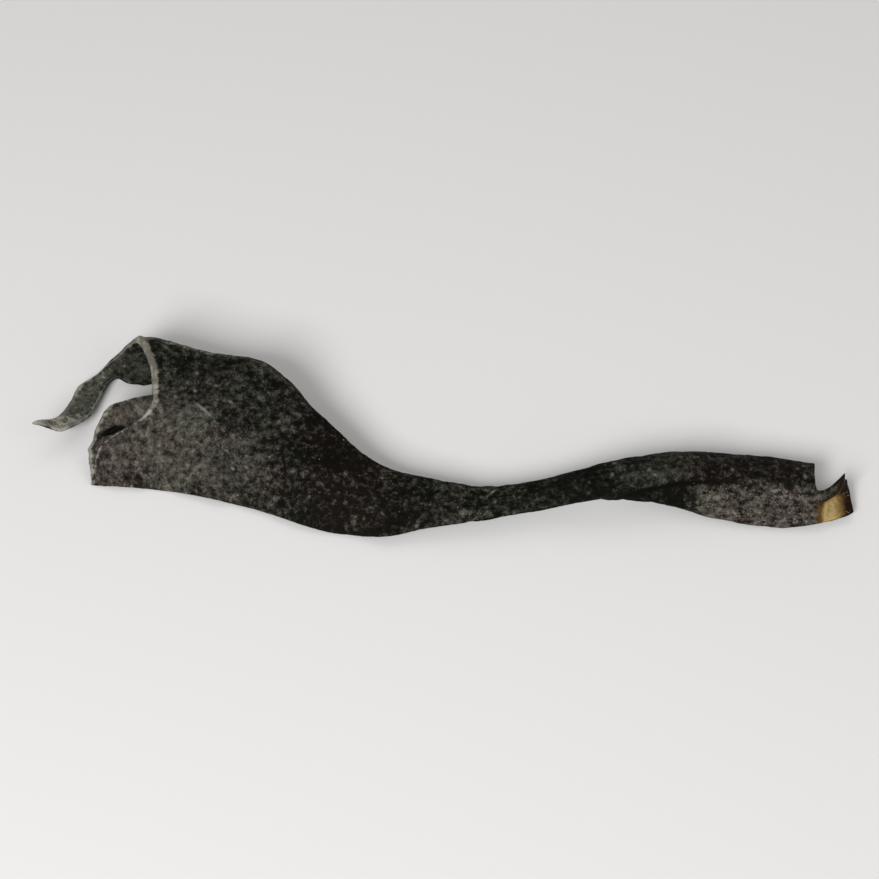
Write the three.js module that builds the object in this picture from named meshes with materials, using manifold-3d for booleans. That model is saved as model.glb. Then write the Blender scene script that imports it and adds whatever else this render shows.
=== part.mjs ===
// One dried kelp stem, lying on its side margins with its outer face up.
//
// The stem is a single dried piece. Its trimmed blade is folded lengthwise like a gutter turned
// upside down, and at the cut end the far half draws in to a narrow neck and rolls under into a
// pointed flap. The blade narrows at a sloping shoulder into a firm stalk, which rises clear of
// the table, flattens again into a creased foot and ends in a slanted, notched knife cut.
//
// Millimetres. +X runs along the stem from the blade to the foot, +Y across it to the far side
// and +Z up. The stem rests on the plane z = 0, and the origin is under the middle of its box.

import * as THREE from "three";
import { mergeVertices } from "three/addons/utils/BufferGeometryUtils.js";
import Module from "manifold-3d";

// ---------------------------------------------------------------- driving sizes

const ROWS = 68; // rows of corners along the stem
const STRIPS = 24; // strips across one face
const WALK_STEPS = 24; // steps of the walk across the bent section
const EDGE_CROWDING = 0.5; // share of the strips' spacing that crowds towards the margins

const CUT_START = 15.5; // where the blade's knife cut is deepest
const CUT_REACH = 36; // length of blade over which the cut's slant dies out
const FOOT_END = 140; // where the foot's far half is cut off
const FOOT_REACH = 12; // length of foot over which the end's slant dies out

const CUT_LIP = 0.7; // how far the outer face stands back from the inner face at the blade's cut
const FLARE_START = 141; // where the foot's tongue begins to widen
const FLARE_LENGTH = 5;
const FLARE_SPREAD = 4.2; // how much wider the tongue gets at its tip

// Places across run from -1 at the near margin to 1 at the far one.
const NOTCH_SIDE = -0.05;
const CREST_SIDE = 0.35; // the strips run along the crest, so it keeps one place all the way
const NECK_POWER = 2.5; // how much more the flap's neck draws in the far margin than the crest

const BLADE_END = [48, 72]; // the blade's own waves fade out between these
const RIPPLE_HEIGHT = 0.6; // waves along the blade's two margins
const RIPPLE_LENGTH = 17;
const DENT_DEPTH = 0.8; // the shallow dent in the blade's near half
const DENT_PLACE = { x: 30, q: -0.59, length: 9, breadth: 0.22 };
const SWELL_HEIGHT = 0.5; // the low swell over the blade's top
const SWELL_LENGTH = 26;
const HOLLOW_START = [110, 126]; // the hollow down the foot's near half fades in between these
const HOLLOW_DEPTH = 0.5;
const HOLLOW_PLACE = { q: -0.4, breadth: 0.3 };

const REST_DEPTH = 0.35; // how deep the lowest spots are pressed flat

// The flat pattern and its folds. Each profile is a list of [distance along the stem, value].
// The flap's point lies a little way before the start.
const ridgeY = profile([[0, 5.4], [18.5, 3.3], [37, -3.9], [51, -11.5], [63, -15.7], [75, -15.8],
  [98, -12.8], [121, -11.7], [135, -12.3], [147, -12.7]]);
const ridgeZ = profile([[0, 9.4], [18.5, 9.7], [33, 9.1], [44.5, 7.2], [54, 5.5], [64, 4.3],
  [78, 3.9], [88, 4.2], [101, 6.2], [113, 6.4], [130, 5.3], [147, 5]]);
const nearWidth = profile([[0, 16.5], [18, 16.4], [37, 14], [48, 11.4], [58, 8], [67, 5.2],
  [81, 3.3], [88, 3], [101, 3.4], [111, 4.8], [121, 7.4], [133, 8.3], [141, 7.1], [147, 5.2]]);
const topWidth = profile([[0, 13.2], [14, 14.2], [24, 13.9], [34, 15.2], [41, 13.8], [47, 9.8],
  [53, 6.8], [61, 4.4], [70, 2.5], [81, 1.1], [88, 0.9], [101, 1.4], [111, 2.2], [121, 1.3],
  [147, 1.3]]);
const farWidth = profile([[0, 9.3], [15, 9.9], [29, 8.4], [38, 6], [47, 2.6], [53, 2.1], [70, 2.2],
  [88, 1.9], [101, 2.4], [111, 3.5], [121, 4.9], [130, 5.5], [141, 3.5]]);
const rollWidth = profile([[-7.5, 17.5], [0, 16.5], [3, 14], [6, 9.5], [9, 5], [14, 3], [24, 2],
  [36, 0.6], [60, 0], [147, 0]]);
const neck = profile([[-2, 0], [2.6, 0.1], [4, 0.24], [5.4, 0.36], [6.5, 0.36], [9, 0.14], [12, 0]]);
const nearTilt = profile([[0, 36], [34, 35], [54, 32], [64, 25], [79, 10], [94, 12], [107, 45],
  [115, 52], [126, 40], [147, 36]]);
const ridgeFold = profile([[0, -28], [34, -27], [54, -24], [64, -18], [79, -12], [99, -14],
  [112, -48], [124, -42], [147, -38]]);
const crestFold = profile([[0, -102], [10, -92], [24, -78], [38, -60], [50, -35], [64, -12],
  [147, -8]]);
const rollFold = profile([[-7.5, -104], [0, -99], [10, -95], [18, -80], [32, -40], [40, 0],
  [147, 0]]);
const foldWidth = profile([[0, 5], [44, 5], [64, 3], [147, 2.6]]);
const thickness = profile([[0, 1.5], [34, 1.5], [49, 1.9], [62, 2.8], [72, 3.9], [88, 4.5],
  [102, 4.6], [116, 3.8], [129, 3.4], [147, 3.2]]);
const squareness = profile([[0, 4.5], [44, 4], [64, 2.6], [79, 2.1], [104, 2.1], [122, 2.6], [147, 3]]);

// Where each strip begins at the blade's cut and ends at the foot, against its place across.
const bladeCut = profile([[-1, 4.1], [-0.7, 5.2], [-0.36, 14.2], [-0.26, 15.3], [-0.01, 15.1],
  [0.28, 12.8], [0.4, 10.8], [0.5, 8.7], [0.57, 7.1], [0.61, 4.7], [0.64, 1.4], [0.69, -0.3],
  [0.8, -1.2], [0.92, -3.1], [1, -7.2]]);
const footInner = profile([[-1, 145.8], [-0.9, 147], [-0.5, 146.6], [NOTCH_SIDE - 0.05, 146.2],
  [NOTCH_SIDE + 0.03, 139.8], [0.2, 139.5], [1, 140.1]]);
const footOuter = profile([[-1, 140.6], [-0.7, 140.4], [-0.4, 141], [NOTCH_SIDE - 0.05, 145.2],
  [NOTCH_SIDE + 0.03, 139.8], [0.2, 139.5], [1, 140.1]]);

// ---------------------------------------------------------------- shape functions

/** A smooth curve through knots that never overshoots them: a monotone cubic. */
function profile(knots) {
  const at = knots.map((knot) => knot[0]);
  const value = knots.map((knot) => knot[1]);
  const last = knots.length - 1;
  const gap = (i) => at[i + 1] - at[i];
  const rise = (i) => (value[i + 1] - value[i]) / gap(i);
  const slope = value.map((_, i) => {
    if (i === 0) return rise(0);
    if (i === last) return rise(last - 1);
    if (rise(i - 1) * rise(i) <= 0) return 0;
    const before = 2 * gap(i) + gap(i - 1);
    const after = gap(i) + 2 * gap(i - 1);
    return (before + after) / (before / rise(i - 1) + after / rise(i));
  });
  return (where) => {
    const x = THREE.MathUtils.clamp(where, at[0], at[last]);
    let i = 0;
    while (i < last - 1 && x > at[i + 1]) i += 1;
    const t = (x - at[i]) / gap(i);
    const start = 2 * t ** 3 - 3 * t ** 2 + 1;
    const startSlope = t ** 3 - 2 * t ** 2 + t;
    const endSlope = t ** 3 - t ** 2;
    return start * value[i] + (1 - start) * value[i + 1]
      + gap(i) * (startSlope * slope[i] + endSlope * slope[i + 1]);
  };
}

/** The slope of the section at distance p across from the ridge, in radians. */
function slopeAt(x, p) {
  const half = foldWidth(x) / 2;
  const folded = (at, angle) => angle * THREE.MathUtils.smoothstep(p, at - half, at + half);
  const crest = topWidth(x);
  const degrees = nearTilt(x) + folded(0, ridgeFold(x)) + folded(crest, crestFold(x))
    + folded(crest + farWidth(x), rollFold(x));
  return THREE.MathUtils.degToRad(degrees);
}

/** A bell-shaped hump of height 1 at the middle, measured in breadths from it. */
function hump(distance, breadth) {
  return Math.exp(-((distance / breadth) ** 2));
}

/** How far the dried sheet stands off its folded shape at x, at place q across. */
function buckle(x, q) {
  const blade = 1 - THREE.MathUtils.smoothstep(x, ...BLADE_END);
  const ripple = RIPPLE_HEIGHT * q ** 4 * Math.sin((2 * Math.PI * x) / RIPPLE_LENGTH + 2 * q);
  const swell = SWELL_HEIGHT * (1 - q * q) * Math.sin((2 * Math.PI * x) / SWELL_LENGTH - 3 * q);
  const dent = DENT_DEPTH * hump(x - DENT_PLACE.x, DENT_PLACE.length)
    * hump(q - DENT_PLACE.q, DENT_PLACE.breadth);
  const foot = THREE.MathUtils.smoothstep(x, ...HOLLOW_START);
  const hollow = HOLLOW_DEPTH * hump(q - HOLLOW_PLACE.q, HOLLOW_PLACE.breadth);
  return blade * (ripple + swell - dent) - foot * hollow;
}

/** The point reached by walking distance p across the bent section from the ridge. */
function walk(x, p) {
  let y = ridgeY(x);
  let z = ridgeZ(x);
  const step = p / WALK_STEPS;
  for (let i = 0; i < WALK_STEPS; i += 1) {
    const slope = slopeAt(x, (i + 0.5) * step);
    y += Math.cos(slope) * step;
    z += Math.sin(slope) * step;
  }
  return { y, z, slope: slopeAt(x, p) };
}

/** How far across from the ridge the place q lies at x, before the foot's tongue flares. */
function reach(x, q) {
  const toCrest = (nearWidth(x) + topWidth(x)) * Math.min(1, (q + 1) / (CREST_SIDE + 1));
  const beyond = Math.max(0, (q - CREST_SIDE) / (1 - CREST_SIDE));
  const drawnIn = beyond - neck(x) * beyond ** NECK_POWER;
  return toCrest + (farWidth(x) + rollWidth(x)) * drawnIn - nearWidth(x);
}

/** A corner of the skin at x, at place q across, on the outer (+1) or inner (-1) face. */
function corner(x, q, face) {
  const tongue = THREE.MathUtils.clamp((x - FLARE_START) / FLARE_LENGTH, 0, 1);
  const share = (q + 1) / (NOTCH_SIDE + 1);
  const p = reach(x, q) + FLARE_SPREAD * (tongue * share) ** 2;
  const roundness = squareness(x);
  const half = (thickness(x) / 2) * (1 - Math.abs(q) ** roundness) ** (1 / roundness);
  const middle = walk(x, p);
  const off = buckle(x, q) + half * face;
  return new THREE.Vector3(
    x,
    middle.y - Math.sin(middle.slope) * off,
    middle.z + Math.cos(middle.slope) * off,
  );
}

/** Where row u (0 to 1) lies along the stem, at place q across, on one face. */
function rowAt(u, q, face) {
  const x = THREE.MathUtils.lerp(CUT_START, FOOT_END, u);
  const bevel = face > 0 ? CUT_LIP * (1 - q ** 4) : 0;
  const foot = face > 0 ? footOuter(q) : footInner(q);
  const atCut = 1 - THREE.MathUtils.smoothstep(x, CUT_START, CUT_START + CUT_REACH);
  const atFoot = THREE.MathUtils.smoothstep(x, FOOT_END - FOOT_REACH, FOOT_END);
  return x + atCut * (bladeCut(q) + bevel - CUT_START) + atFoot * (foot - FOOT_END);
}

/** The place across of strip line j, from -1 at the near margin to 1 at the far one. */
function across(j) {
  const even = (2 * j) / STRIPS - 1;
  const crowded = -Math.cos((Math.PI * j) / STRIPS);
  return THREE.MathUtils.lerp(even, crowded, EDGE_CROWDING);
}

/** The closed skin: rings of corners round the section, with a ladder of faces over each end. */
function stemSkin() {
  const corners = [];
  const faces = [];
  const ring = 2 * STRIPS;
  for (let i = 0; i <= ROWS; i += 1) {
    for (let j = 0; j < ring; j += 1) {
      const outer = j <= STRIPS;
      const q = across(outer ? j : ring - j);
      const face = outer ? 1 : -1;
      corners.push(corner(rowAt(i / ROWS, q, face), q, face));
    }
  }
  const apart = (a, b) => corners[a].distanceTo(corners[b]);
  const quad = (a, b, c, d) => {
    if (apart(a, c) < apart(b, d)) faces.push(a, b, c, a, c, d);
    else faces.push(a, b, d, b, c, d);
  };
  for (let i = 0; i < ROWS; i += 1) {
    for (let j = 0; j < ring; j += 1) {
      const next = (j + 1) % ring;
      quad(i * ring + j, (i + 1) * ring + j, (i + 1) * ring + next, i * ring + next);
    }
  }
  const end = ROWS * ring;
  for (let j = 0; j < STRIPS; j += 1) {
    const under = (ring - j) % ring;
    const underNext = ring - j - 1;
    quad(j, j + 1, underNext, under);
    quad(end + j, end + under, end + underNext, end + j + 1);
  }
  const geometry = new THREE.BufferGeometry().setFromPoints(corners);
  geometry.setIndex(faces.filter((_, k) => !flat(faces, k)));
  return geometry;
}

/** True where entry k belongs to a face that names one corner twice. */
function flat(faces, k) {
  const [a, b, c] = faces.slice(k - (k % 3), k - (k % 3) + 3);
  return a === b || b === c || a === c;
}

/** Presses the lowest spots flat on z = 0 and centres the stem over the origin. */
function pressedFlat(wasm, geometry) {
  geometry.computeBoundingBox();
  const centre = geometry.boundingBox.getCenter(new THREE.Vector3());
  geometry.translate(-centre.x, -centre.y, -geometry.boundingBox.min.z - REST_DEPTH);
  const size = geometry.boundingBox.getSize(new THREE.Vector3()).multiplyScalar(2);
  const table = new THREE.BoxGeometry(size.x, size.y, size.z);
  table.translate(0, 0, -size.z / 2);
  const rested = solid(wasm, geometry).subtract(solid(wasm, table)).getMesh();
  const pressed = new THREE.BufferGeometry();
  pressed.setAttribute("position", new THREE.Float32BufferAttribute(rested.vertProperties, 3));
  pressed.setIndex([...rested.triVerts]);
  pressed.computeVertexNormals();
  return pressed;
}

/** A closed geometry as a solid that can be cut. */
function solid(wasm, geometry) {
  const bare = geometry.clone();
  bare.deleteAttribute("normal");
  bare.deleteAttribute("uv");
  const merged = mergeVertices(bare);
  return new wasm.Manifold(new wasm.Mesh({
    numProp: 3,
    vertProperties: merged.attributes.position.array,
    triVerts: new Uint32Array(merged.index.array),
  }));
}

// ---------------------------------------------------------------- the stem

const wasm = await Module();
wasm.setup();

const leathery = new THREE.MeshStandardMaterial({ color: 0x3a3833, roughness: 0.85, metalness: 0 });

const stem = new THREE.Mesh(pressedFlat(wasm, stemSkin()), leathery);
stem.name = "kelp_stem";

const group = new THREE.Group();
group.add(stem);

export default group;
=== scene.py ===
"""Looks of one dried kelp stem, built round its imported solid.

The stem is one dried piece: a trimmed blade folded lengthwise like an upturned gutter, a sloping
shoulder, a firm wrinkled stalk and a creased foot with a notched knife cut. Its skin is one closed
grid, worked out from the same profiles as the solid at a finer pitch, with the puckers, shrivelled
furrows and swollen cut rims of dried seaweed. A thin inner layer stands out of the blade's split
cut, salt grains lie on the skin, and torn fibres stand on the foot's cut.

Shape functions work in millimetres, and every finished mesh is in metres.
"""

import itertools
import logging
import math
from dataclasses import dataclass
from enum import Enum
from functools import cached_property

import bmesh
import bpy
import numpy as np
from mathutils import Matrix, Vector


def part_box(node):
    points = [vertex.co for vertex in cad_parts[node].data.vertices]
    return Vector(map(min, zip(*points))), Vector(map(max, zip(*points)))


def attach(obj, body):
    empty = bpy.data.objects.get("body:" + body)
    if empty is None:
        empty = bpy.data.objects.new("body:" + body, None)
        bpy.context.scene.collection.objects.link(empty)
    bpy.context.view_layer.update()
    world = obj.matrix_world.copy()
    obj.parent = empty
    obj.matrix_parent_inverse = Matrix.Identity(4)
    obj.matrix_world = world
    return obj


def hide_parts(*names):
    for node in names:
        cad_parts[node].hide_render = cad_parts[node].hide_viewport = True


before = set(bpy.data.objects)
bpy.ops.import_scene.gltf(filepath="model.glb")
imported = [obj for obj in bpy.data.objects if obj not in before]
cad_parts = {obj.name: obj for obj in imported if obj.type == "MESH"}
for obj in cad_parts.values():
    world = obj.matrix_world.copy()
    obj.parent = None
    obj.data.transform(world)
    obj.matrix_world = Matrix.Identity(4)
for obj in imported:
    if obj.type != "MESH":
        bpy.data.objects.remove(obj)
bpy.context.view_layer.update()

log = logging.getLogger("kelp_stem")
Array = np.ndarray
Span = tuple[float, float]
Piece = bpy.types.Object
Socket = bpy.types.NodeSocket

METRES = 0.001  # one millimetre
MAP_NAME = "grain"  # the skin's map: x along the stem and p across it
MAP_SPAN = 200.0  # millimetres that one unit of the map spans
ZONES = ("bloom_and_painted_light", "warmth", "speckle", "foot", "stalk", "rim_and_highlight", "pith", "scorch", "outside")


# ---------------------------------------------------------------- curves and noise


def smooth_step(value: Array, low: float | Array, high: float | Array) -> Array:
    """From 0 at low to 1 at high: three t squared less two t cubed, t being the share of the way."""
    share = np.clip((value - low) / (high - low), 0.0, 1.0)
    return share * share * (3.0 - 2.0 * share)


def smooth_fall(value: Array, low: float | Array, high: float | Array) -> Array:
    """Falls smoothly from 1 at low to 0 at high."""
    return 1.0 - smooth_step(value, low, high)


def plateau(value: Array, rise: Span, drop: Span) -> Array:
    """Rises smoothly to 1 over one span of values and falls back to 0 over another."""
    return smooth_step(value, *rise) * smooth_fall(value, *drop)


def hump(distance: Array, breadth: float) -> Array:
    """A bell of height 1 in the middle: e to the power of less the squared distance in breadths."""
    return np.exp(-((distance / breadth) ** 2))


def bell(x: Array, y: Array, middle: Span, size: Span) -> Array:
    """A bell over two coordinates round a middle: the product of a hump along each."""
    return hump(x - middle[0], size[0]) * hump(y - middle[1], size[1])


def hill(x: Array, spot: Span) -> Array:
    """A hump given by its middle and its breadth."""
    return hump(x - spot[0], spot[1])


def blend(low: float | Array, high: float | Array, share: Array) -> Array:
    """The value a given share of the way from low to high."""
    return low + (high - low) * share


def spread(*axes: Array) -> Array:
    """Joins coordinate arrays of one shape into points on a new last axis."""
    return np.stack(np.broadcast_arrays(*axes), axis=-1)


def unit(vectors: Array) -> Array:
    """Vectors of the same directions and length 1."""
    return vectors / np.maximum(np.linalg.norm(vectors, axis=-1, keepdims=True), 1e-9)


@dataclass(frozen=True)
class Profile:
    """A smooth curve through knots that never overshoots them: a monotone cubic.

    Attributes:
        knots: pairs of place and value, in rising order of place.
    """

    knots: tuple[Span, ...]

    def __call__(self, where: Array) -> Array:
        """Reads the curve.

        Formula: between two knots, the cubic with their values and slopes. An inner knot's slope is
        the weighted harmonic mean of the rises on its two sides, or 0 where they differ in sign.

        Args:
            where: places, which are held between the first and the last knot.

        Returns:
            The curve's value at each place.
        """
        at, value = np.array(self.knots, float).T
        gap = np.diff(at)
        rise = np.diff(value) / gap
        before = 2.0 * gap[1:] + gap[:-1]
        after = gap[1:] + 2.0 * gap[:-1]
        turns = rise[:-1] * rise[1:] <= 0.0
        left, right = np.where(turns, 1.0, rise[:-1]), np.where(turns, 1.0, rise[1:])
        inner = np.where(turns, 0.0, (before + after) / (before / left + after / right))
        slope = np.concatenate([rise[:1], inner, rise[-1:]])
        place = np.clip(where, at[0], at[-1])
        i = np.clip(np.searchsorted(at, place) - 1, 0, len(gap) - 1)
        t = (place - at[i]) / gap[i]
        start = 2.0 * t**3 - 3.0 * t**2 + 1.0
        bend = (t**3 - 2.0 * t**2 + t) * slope[i] + (t**3 - t**2) * slope[i + 1]
        return start * value[i] + (1.0 - start) * value[i + 1] + gap[i] * bend


class Relief(Enum):
    """Smooth noises in space, each named for what it shapes, with the seed of its pattern."""

    PUCKER = 3
    RUFFLE = 5
    FURROW = 11
    WRINKLE = 17
    GRAIN = 23
    CUT = 31
    LAYER = 37
    SALT = 41
    FIBRE = 47

    def directions(self, cell: Array) -> Array:
        """Picks a unit vector for each whole-number corner of space, by a hash of its numbers.

        Args:
            cell: corners, with x, y and z on the last axis.

        Returns:
            The vectors.
        """
        table = unit(np.random.default_rng(self.value).normal(size=(256, 3)))
        mixed = cell[..., 0] * 73856093 ^ cell[..., 1] * 19349663 ^ cell[..., 2] * 83492791
        mixed = (mixed ^ (mixed >> 13)) * 1274126177
        return table[(mixed ^ (mixed >> 16)) & 255]

    def bumps(self, points: Array) -> Array:
        """Reads one layer of bumps.

        Formula: each of the eight corners round a point gives the dot product of its unit vector
        with the way to the point, and the eight are blended by the quintic fade six t to the fifth
        less fifteen t to the fourth plus ten t cubed.

        Args:
            points: places, one bump to a unit.

        Returns:
            Values between about -1 and 1.
        """
        cell = np.floor(points).astype(np.int64)
        inside = points - cell
        fade = inside**3 * (inside * (inside * 6.0 - 15.0) + 10.0)
        total = np.zeros(points.shape[:-1])
        for corner in map(np.array, itertools.product((0, 1), repeat=3)):
            share = np.prod(np.where(corner == 1, fade, 1.0 - fade), axis=-1)
            total += share * np.sum(self.directions(cell + corner) * (inside - corner), axis=-1)
        return total * 1.6

    def noise(self, points: Array, layers: int = 1) -> Array:
        """Adds finer bumps to coarse ones: each layer has half the size and half the height."""
        return sum(self.bumps(points * 2.0**k + 17.0 * k) * 0.5**k for k in range(layers))

    def valleys(self, points: Array, gain: float) -> Array:
        """Two layers folded over at 0 and held under 1: sharp valleys between round backs."""
        return np.minimum(np.abs(self.noise(points, 2)) * gain, 1.0)


class Face(Enum):
    """The two faces of the folded sheet, as the side of its middle that they lie on."""

    OUTER = 1
    INNER = -1


def ring_sides(strips: int) -> Array:
    """The face of each corner of a ring that runs over the outer face and back under the inner."""
    return np.where(np.arange(2 * strips) <= strips, float(Face.OUTER.value), float(Face.INNER.value))


def ring_shares(strips: int) -> Array:
    """The share of the way across of each corner of such a ring, up to 1 and back."""
    j = np.arange(2 * strips)
    return np.where(j <= strips, j, 2 * strips - j) / strips


# ---------------------------------------------------------------- the stem's form


@dataclass(frozen=True)
class StemForm:
    """The folded sheet and its stalk, as the solid has them.

    A place on the stem is x along it, from the tip of the blade's far half to the tip of the foot,
    and q across it, from -1 at the near margin to 1 at the far one. Every profile runs along x.
    """

    cut_start: float = 15.5
    cut_reach: float = 36.0
    foot_end: float = 140.0
    foot_reach: float = 12.0
    cut_lip: float = 0.7
    flare_start: float = 141.0
    flare_length: float = 5.0
    flare_spread: float = 4.2
    notch_side: float = -0.05
    crest_side: float = 0.35
    blade_end: Span = (48.0, 72.0)
    ripple_height: float = 0.6
    ripple_length: float = 17.0
    ripple_slant: float = 2.0
    dent_depth: float = 0.8
    dent_place: Span = (30.0, -0.59)
    dent_size: Span = (9.0, 0.22)
    swell_height: float = 0.5
    swell_length: float = 26.0
    swell_slant: float = -3.0
    hollow_start: Span = (110.0, 126.0)
    hollow_depth: float = 0.5
    hollow_side: float = -0.4
    hollow_breadth: float = 0.3
    rest_depth: float = 0.35
    walk_steps: int = 24

    ridge_y: Profile = Profile((
        (0, 5.4), (18.5, 3.3), (37, -3.9), (51, -11.5), (63, -15.7), (75, -15.8), (98, -12.8),
        (121, -11.7), (135, -12.3), (147, -12.7)))
    ridge_z: Profile = Profile((
        (0, 9.4), (18.5, 9.7), (33, 9.1), (44.5, 7.2), (54, 5.5), (64, 4.3), (78, 3.9), (88, 4.2),
        (101, 6.2), (113, 6.4), (130, 5.3), (147, 5)))
    near_width: Profile = Profile((
        (0, 16.5), (18, 16.4), (37, 14), (48, 11.4), (58, 8), (67, 5.2), (81, 3.3), (88, 3),
        (101, 3.4), (111, 4.8), (121, 7.4), (133, 8.3), (141, 7.1), (147, 5.2)))
    top_width: Profile = Profile((
        (0, 13.2), (14, 14.2), (24, 13.9), (34, 15.2), (41, 13.8), (47, 9.8), (53, 6.8), (61, 4.4),
        (70, 2.5), (81, 1.1), (88, 0.9), (101, 1.4), (111, 2.2), (121, 1.3), (147, 1.3)))
    far_width: Profile = Profile((
        (0, 9.3), (15, 9.9), (29, 8.4), (38, 6), (47, 2.6), (53, 2.1), (70, 2.2), (88, 1.9),
        (101, 2.4), (111, 3.5), (121, 4.9), (130, 5.5), (141, 3.5)))
    roll_width: Profile = Profile((
        (-7.5, 17.5), (0, 16.5), (3, 14), (6, 9.5), (9, 5), (14, 3), (24, 2), (36, 0.6), (60, 0),
        (147, 0)))
    neck: Profile = Profile((
        (-2, 0), (2.6, 0.1), (4, 0.24), (5.4, 0.36), (6.5, 0.36), (9, 0.14), (12, 0)))
    neck_power: float = 2.5
    near_tilt: Profile = Profile((
        (0, 36), (34, 35), (54, 32), (64, 25), (79, 10), (94, 12), (107, 45), (115, 52), (126, 40),
        (147, 36)))
    ridge_fold: Profile = Profile((
        (0, -28), (34, -27), (54, -24), (64, -18), (79, -12), (99, -14), (112, -48), (124, -42),
        (147, -38)))
    crest_fold: Profile = Profile((
        (0, -102), (10, -92), (24, -78), (38, -60), (50, -35), (64, -12), (147, -8)))
    roll_fold: Profile = Profile((
        (-7.5, -104), (0, -99), (10, -95), (18, -80), (32, -40), (40, 0), (147, 0)))
    fold_width: Profile = Profile(((0, 5), (44, 5), (64, 3), (147, 2.6)))
    thickness: Profile = Profile((
        (0, 1.5), (34, 1.5), (49, 1.9), (62, 2.8), (72, 3.9), (88, 4.5), (102, 4.6), (116, 3.8),
        (129, 3.4), (147, 3.2)))
    squareness: Profile = Profile((
        (0, 4.5), (44, 4), (64, 2.6), (79, 2.1), (104, 2.1), (122, 2.6), (147, 3)))
    blade_cut: Profile = Profile((
        (-1, 4.1), (-0.7, 5.2), (-0.36, 14.2), (-0.26, 15.3), (-0.01, 15.1), (0.28, 12.8),
        (0.4, 10.8), (0.5, 8.7), (0.57, 7.1), (0.61, 4.7), (0.64, 1.4), (0.69, -0.3), (0.8, -1.2),
        (0.92, -3.1), (1, -7.2)))
    foot_inner: Profile = Profile((
        (-1, 145.8), (-0.9, 147), (-0.5, 146.6), (-0.1, 146.2), (-0.02, 139.8), (0.2, 139.5),
        (1, 140.1)))
    foot_outer: Profile = Profile((
        (-1, 140.6), (-0.7, 140.4), (-0.4, 141), (-0.1, 145.2), (-0.02, 139.8), (0.2, 139.5),
        (1, 140.1)))

    def slope(self, x: Array, p: Array) -> Array:
        """The section's slope.

        Formula: the near half's tilt, to which each fold adds its angle over the fold's width.

        Args:
            x: places along the stem.
            p: distances across from the ridge.

        Returns:
            Slopes in radians.
        """
        half, crest = self.fold_width(x) / 2.0, self.top_width(x)
        roll = crest + self.far_width(x)
        degrees = self.near_tilt(x)
        for at, angle in ((0.0, self.ridge_fold), (crest, self.crest_fold), (roll, self.roll_fold)):
            degrees = degrees + angle(x) * smooth_step((p - at) / half, -1.0, 1.0)
        return np.radians(degrees)

    def walk(self, x: Array, p: Array) -> tuple[Array, Array, Array]:
        """Walks the distance p across the bent section from the ridge.

        Formula: y and z start on the ridge and grow by the cosine and the sine of the slope over
        each of a row of equal steps, read at the middle of the step.

        Args:
            x: places along the stem.
            p: distances across from the ridge.

        Returns:
            y, z and the slope at the end of the walk.
        """
        y, z = self.ridge_y(x), self.ridge_z(x)
        step = p / self.walk_steps
        for i in range(self.walk_steps):
            slope = self.slope(x, (i + 0.5) * step)
            y = y + np.cos(slope) * step
            z = z + np.sin(slope) * step
        return y, z, self.slope(x, p)

    def buckle(self, x: Array, q: Array) -> Array:
        """How far the dried sheet stands off its folded shape.

        Formula: on the blade, a ripple that grows with the fourth power of q, plus a swell that
        dies out towards the margins, less a bell-shaped dent. On the foot, less a hollow.

        Args:
            x: places along the stem.
            q: places across it.

        Returns:
            Heights along the section's normal.
        """
        wave = np.sin(2.0 * math.pi * x / self.ripple_length + self.ripple_slant * q)
        ripple = self.ripple_height * q**4 * wave
        wave = np.sin(2.0 * math.pi * x / self.swell_length + self.swell_slant * q)
        swell = self.swell_height * (1.0 - q * q) * wave
        dent = self.dent_depth * bell(x, q, self.dent_place, self.dent_size)
        hollow = self.hollow_depth * hump(q - self.hollow_side, self.hollow_breadth)
        on_blade = smooth_fall(x, *self.blade_end) * (ripple + swell - dent)
        return on_blade - smooth_step(x, *self.hollow_start) * hollow

    def reach(self, x: Array, q: Array) -> Array:
        """How far across from the ridge the place q lies, with the foot's tongue flared.

        Formula: q shares out the width up to the crest evenly, and then the width beyond it. At the
        flap's neck a power of the share beyond the crest is taken off it, so that the far margin
        draws in. The tongue adds the flare times the square of two shares: that of the way along
        the tongue, and that of the way from the near margin to the notch.

        Args:
            x: places along the stem.
            q: places across it.

        Returns:
            Distances across from the ridge.
        """
        near, crest = self.near_width(x), self.crest_side
        to_crest = (near + self.top_width(x)) * np.minimum(1.0, (q + 1.0) / (crest + 1.0))
        beyond = np.maximum(0.0, (q - crest) / (1.0 - crest))
        beyond = beyond - self.neck(x) * beyond**self.neck_power
        past = (self.far_width(x) + self.roll_width(x)) * beyond
        tongue = np.clip((x - self.flare_start) / self.flare_length, 0.0, 1.0)
        share = (q + 1.0) / (self.notch_side + 1.0)
        return to_crest + past - near + self.flare_spread * (tongue * share) ** 2

    def edge_at_cut(self, q: Array, side: Array) -> Array:
        """Where the blade begins: the cut's outline, with the outer face standing back by the lip."""
        return self.blade_cut(q) + np.where(side > 0, self.cut_lip * (1.0 - q**4), 0.0)

    def edge_at_foot(self, q: Array, side: Array) -> Array:
        """Where the foot ends, on the outer or the inner face."""
        return np.where(side > 0, self.foot_outer(q), self.foot_inner(q))

    def row_at(self, u: Array, q: Array, side: Array) -> Array:
        """Where row u lies along the stem.

        Formula: an even spacing from the blade's deepest cut to the foot's end, bent near each end
        so that the first row follows the blade's cut and the last row the foot's.

        Args:
            u: the row's share of the way, from 0 to 1.
            q: places across the stem.
            side: 1 on the outer face and -1 on the inner one.

        Returns:
            Places along the stem.
        """
        x = blend(self.cut_start, self.foot_end, u)
        at_cut = smooth_fall(x, self.cut_start, self.cut_start + self.cut_reach)
        at_foot = smooth_step(x, self.foot_end - self.foot_reach, self.foot_end)
        from_cut = at_cut * (self.edge_at_cut(q, side) - self.cut_start)
        return x + from_cut + at_foot * (self.edge_at_foot(q, side) - self.foot_end)

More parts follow.
